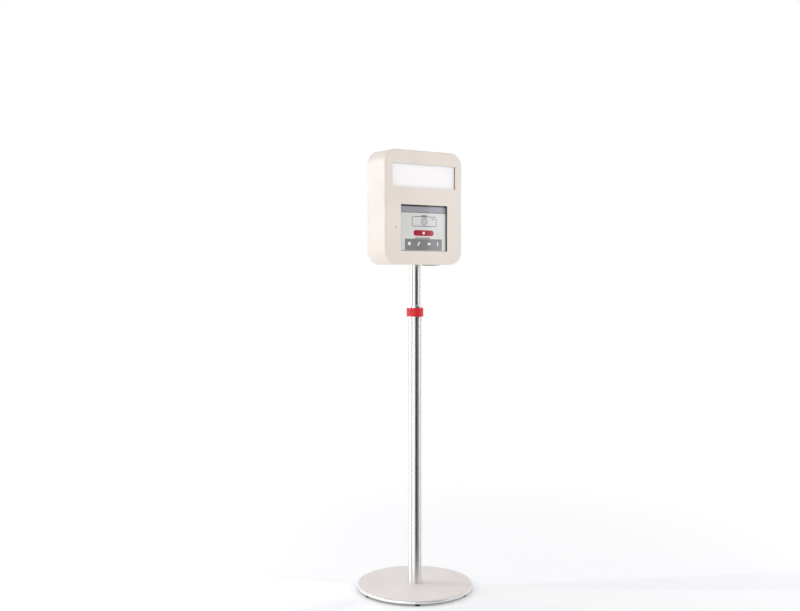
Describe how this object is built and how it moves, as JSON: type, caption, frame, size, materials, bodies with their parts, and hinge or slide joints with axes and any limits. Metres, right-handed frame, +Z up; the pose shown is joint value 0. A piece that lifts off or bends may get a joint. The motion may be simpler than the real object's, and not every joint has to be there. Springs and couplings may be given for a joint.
{
  "type": "photo booth kiosk",
  "caption": "Free-standing photo booth: rounded head with a lit window over a recessed touch screen, on a telescopic mast with a twist lock and a round weighted base.",
  "frame": {"origin": "centre of the round base, on the floor under the feet", "axes": "+Z up along the mast, -Y out of the screen's front, +X to the right when facing along +Y"},
  "size_m": [0.44, 0.44, 1.66],
  "materials": {
    "base_steel": "satin",
    "base_paint": "matte",
    "trim_aluminium": "satin",
    "foot_rubber": "matte",
    "screw_steel": "satin",
    "mast_steel": "polished",
    "nylon": "matte",
    "collar_red": "gloss",
    "case_ivory": "satin",
    "gasket_grey": "matte",
    "diffuser_opal": "satin",
    "reflector_white": "gloss",
    "led_phosphor": "gloss",
    "board_white": "matte",
    "bezel_black": "matte",
    "screen_glass": "gloss",
    "panel_metal": "satin",
    "sheet_zinc": "satin",
    "board_green": "satin",
    "lens_black": "gloss",
    "cast_hub": "satin",
    "pc_case": "matte",
    "supply_case": "satin",
    "fan_black": "satin",
    "cone_paper": "matte",
    "inlet_black": "matte",
    "pin_brass": "satin",
    "lead_black": "satin",
    "seal_foam": "matte",
    "hinge_steel": "satin",
    "lock_chrome": "polished"
  },
  "bodies": {
    "base": {"base_plate": "base_steel", "base_cover": "base_paint", "edge_trim": "trim_aluminium", "foot_pads": "foot_rubber", "foot_screws": "screw_steel", "mast_spigot": "base_steel", "mast_bolt": "screw_steel", "mast_washer": "screw_steel", "outer_tube": "mast_steel", "guide_bush": "nylon", "collar_ferrule": "trim_aluminium", "collet": "nylon"},
    "collar": {"locking_collar": "collar_red", "nose_ring": "trim_aluminium"},
    "mast": {"inner_tube": "mast_steel", "foot_bush": "nylon"},
    "fan": {"fan_rotor": "fan_black"},
    "rocker": {"switch_rocker": "inlet_black"},
    "door": {"rear_door": "case_ivory", "door_seal": "seal_foam", "door_hinges": "hinge_steel", "lock_barrel": "lock_chrome"},
    "lock": {"lock_plug": "lock_chrome", "lock_cam": "screw_steel"},
    "head": {"front_cover": "case_ivory", "head_shell": "case_ivory", "case_screws": "screw_steel", "window_gasket": "gasket_grey", "light_diffuser": "diffuser_opal", "light_box": "reflector_white", "led_board": "board_white", "leds": "led_phosphor", "screen_bezel": "bezel_black", "touch_glass": "screen_glass", "lcd_panel": "panel_metal", "display_tray": "sheet_zinc", "driver_board": "board_green", "camera_lens": "lens_black", "camera_module": "board_green", "camera_bracket": "sheet_zinc", "chassis_plate": "sheet_zinc", "standoffs": "screw_steel", "mast_socket": "cast_hub", "thrust_pad": "nylon", "socket_bolts": "screw_steel", "clamp_screws": "screw_steel", "mini_pc": "pc_case", "power_supply": "supply_case", "fan_frame": "fan_black", "speaker_frame": "sheet_zinc", "speaker_cone": "cone_paper", "power_inlet": "inlet_black", "inlet_pins": "pin_brass", "switch_housing": "inlet_black", "supply_lead": "lead_black", "light_lead": "lead_black", "display_lead": "lead_black", "shell_hinges": "hinge_steel", "hinge_pins": "screw_steel"}
  },
  "joints": [
    {"name": "mast_slide", "type": "slide", "parent": "base", "child": "mast", "axis": [0, 0, 1], "range_m": [-0.145, 0.35]},
    {"name": "collar_twist", "type": "hinge", "parent": "base", "child": "collar", "pos_m": [0, 0, 1.0565], "axis": [0, 0, 1], "range_deg": [0, 90]},
    {"name": "head_swivel", "type": "hinge", "parent": "mast", "child": "head", "pos_m": [0, 0, 1.236], "axis": [0, 0, 1], "range_deg": [-90, 90]},
    {"name": "door_hinge", "type": "hinge", "parent": "head", "child": "door", "pos_m": [0.1785, 0.0545, 1.448], "axis": [0, 0, -1], "range_deg": [0, 110]},
    {"name": "lock_turn", "type": "hinge", "parent": "door", "child": "lock", "pos_m": [-0.142, 0.055, 1.448], "axis": [0, -1, 0], "range_deg": [0, 90]},
    {"name": "fan_spin", "type": "hinge", "parent": "head", "child": "fan", "pos_m": [-0.095, -0.016, 1.58], "axis": [0, 1, 0], "continuous": true},
    {"name": "rocker_tilt", "type": "hinge", "parent": "head", "child": "rocker", "pos_m": [0.109, 0.012, 1.24], "axis": [-1, 0, 0], "range_deg": [0, 16]}
  ]
}
